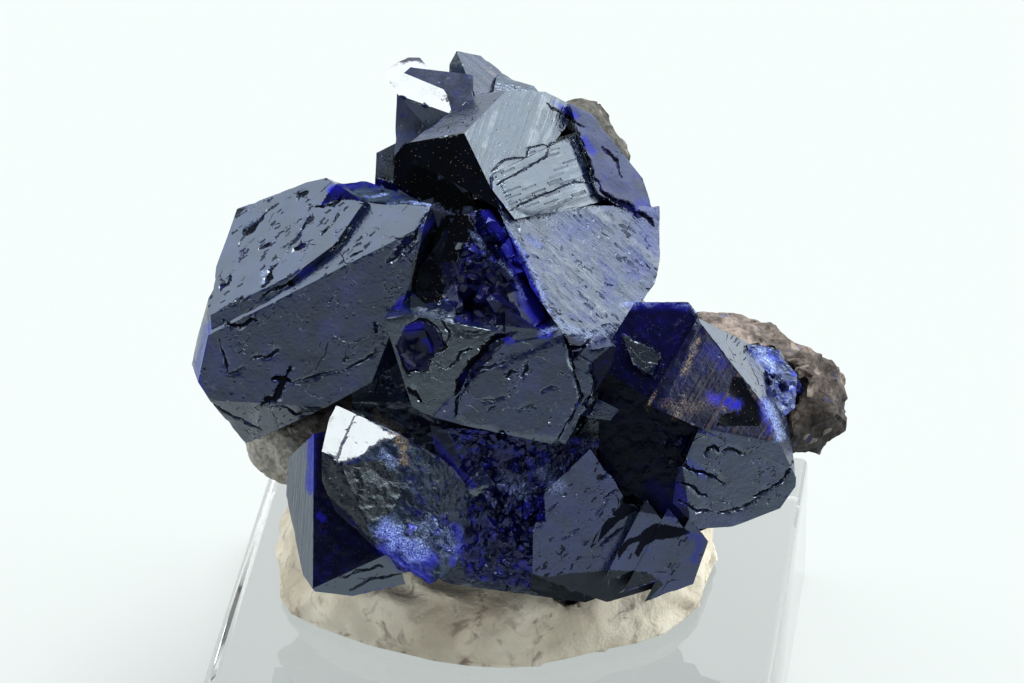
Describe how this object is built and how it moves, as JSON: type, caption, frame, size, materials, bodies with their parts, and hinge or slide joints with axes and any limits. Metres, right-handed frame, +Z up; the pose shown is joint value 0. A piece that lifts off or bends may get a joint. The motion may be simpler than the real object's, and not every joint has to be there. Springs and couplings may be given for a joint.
{
  "type": "azurite specimen",
  "caption": "Cluster of dark blue azurite crystals on brown matrix, set in cream mineral tack on a clear square acrylic base",
  "frame": {"origin": "centre of the underside of the acrylic base", "axes": "+Z up; -Y is the front of the specimen, the side with the round pit; +X is the side with the brown knob of matrix"},
  "size_m": [0.0293, 0.0254, 0.0311],
  "materials": {
    "azurite": "vitreous dark blue crystal with striated, pitted and dusted faces",
    "matrix": "rough brown and black host rock",
    "tack": "soft cream tack, pressed by hand",
    "acrylic": "clear polished acrylic"
  },
  "bodies": {
    "root": {"azurite_cluster": "azurite", "matrix_rock": "matrix", "mineral_tack": "tack", "acrylic_base": "acrylic"}
  },
  "joints": []
}
